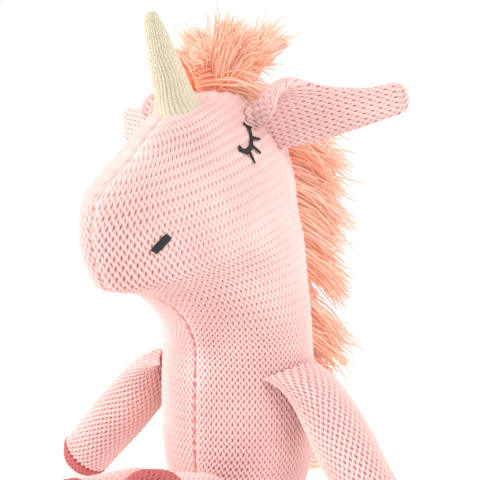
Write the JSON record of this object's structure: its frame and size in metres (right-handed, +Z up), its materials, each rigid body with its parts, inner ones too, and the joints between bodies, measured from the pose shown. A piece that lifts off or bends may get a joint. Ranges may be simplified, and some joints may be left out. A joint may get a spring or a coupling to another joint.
{
  "type": "knitted plush unicorn",
  "caption": "Sitting soft toy unicorn with a knitted pink body, a gold ribbed horn, folded ears, coral yarn mane, embroidered closed eyes and sewn-on limbs that swing.",
  "frame": {"origin": "centre of the flat oval seat panel, on the surface the toy sits on", "axes": "+Z up through the body and neck, the face towards -Y, the toy's left side towards +X"},
  "size_m": [0.229, 0.2246, 0.267],
  "materials": {
    "pink_knit": "garter-stitch cotton knit, soft and matte",
    "rose_knit": "plain dark rose knit, matte",
    "coral_yarn": "loose cut cotton yarn",
    "gold_rib": "ribbed cream knit with gold metallic thread",
    "black_thread": "satin-stitch embroidery thread",
    "white_fibre": "polyester fibre filling"
  },
  "bodies": {
    "torso": {"torso_cover_left": "pink_knit", "torso_cover_right": "pink_knit", "torso_filling": "white_fibre", "seat_panel": "pink_knit", "mane_tuft_7": "coral_yarn", "mane_tuft_8": "coral_yarn", "mane_tuft_9": "coral_yarn"},
    "head": {"head_cover_left": "pink_knit", "head_cover_right": "pink_knit", "head_filling": "white_fibre", "horn_cover": "gold_rib", "horn_filling": "white_fibre", "eye_left": "black_thread", "eye_right": "black_thread", "nostril_left": "black_thread", "nostril_right": "black_thread", "forelock": "coral_yarn", "mane_tuft_1": "coral_yarn", "mane_tuft_2": "coral_yarn", "mane_tuft_3": "coral_yarn", "mane_tuft_4": "coral_yarn", "mane_tuft_5": "coral_yarn", "mane_tuft_6": "coral_yarn"},
    "ear_left": {"ear_left": "pink_knit"},
    "ear_right": {"ear_right": "pink_knit"},
    "arm_left": {"arm_left_cover": "pink_knit", "arm_left_hoof": "rose_knit", "arm_left_filling": "white_fibre"},
    "arm_right": {"arm_right_cover": "pink_knit", "arm_right_hoof": "rose_knit", "arm_right_filling": "white_fibre"},
    "leg_left": {"leg_left_cover": "pink_knit", "leg_left_hoof": "rose_knit", "leg_left_filling": "white_fibre"},
    "leg_right": {"leg_right_cover": "pink_knit", "leg_right_hoof": "rose_knit", "leg_right_filling": "white_fibre"},
    "tail": {"tail": "coral_yarn"}
  },
  "joints": [
    {"name": "neck_nod", "type": "hinge", "parent": "torso", "child": "head", "pos_m": [0, 0, 0.087], "axis": [1, 0, 0], "range_deg": [-8, 14], "stiffness_Nm_per_rad": 3},
    {"name": "ear_left_fold", "type": "hinge", "parent": "head", "child": "ear_left", "pos_m": [0.02395, -0.00875, 0.2073], "axis": [-0.3036, -0.6274, 0.7171], "range_deg": [-8, 20], "stiffness_Nm_per_rad": 0.12},
    {"name": "ear_right_fold", "type": "hinge", "parent": "head", "child": "ear_right", "pos_m": [-0.02395, -0.00875, 0.2073], "axis": [-0.3036, 0.6274, -0.7171], "range_deg": [-8, 20], "stiffness_Nm_per_rad": 0.12},
    {"name": "shoulder_left", "type": "hinge", "parent": "torso", "child": "arm_left", "pos_m": [0.0455, 0, 0.0805], "axis": [0, -1, 0], "range_deg": [0, 110], "stiffness_Nm_per_rad": 0.4},
    {"name": "shoulder_right", "type": "hinge", "parent": "torso", "child": "arm_right", "pos_m": [-0.0455, 0, 0.0805], "axis": [0, 1, 0], "range_deg": [0, 110], "stiffness_Nm_per_rad": 0.4},
    {"name": "hip_left", "type": "hinge", "parent": "torso", "child": "leg_left", "pos_m": [0.021, -0.0365, 0.0155], "axis": [1, 0, 0], "range_deg": [-40, 65], "stiffness_Nm_per_rad": 0.5},
    {"name": "hip_right", "type": "hinge", "parent": "torso", "child": "leg_right", "pos_m": [-0.021, -0.0365, 0.0155], "axis": [1, 0, 0], "range_deg": [-40, 65], "stiffness_Nm_per_rad": 0.5},
    {"name": "tail_lift", "type": "hinge", "parent": "torso", "child": "tail", "pos_m": [0, 0.039, 0.024], "axis": [1, 0, 0], "range_deg": [0, 40]}
  ]
}
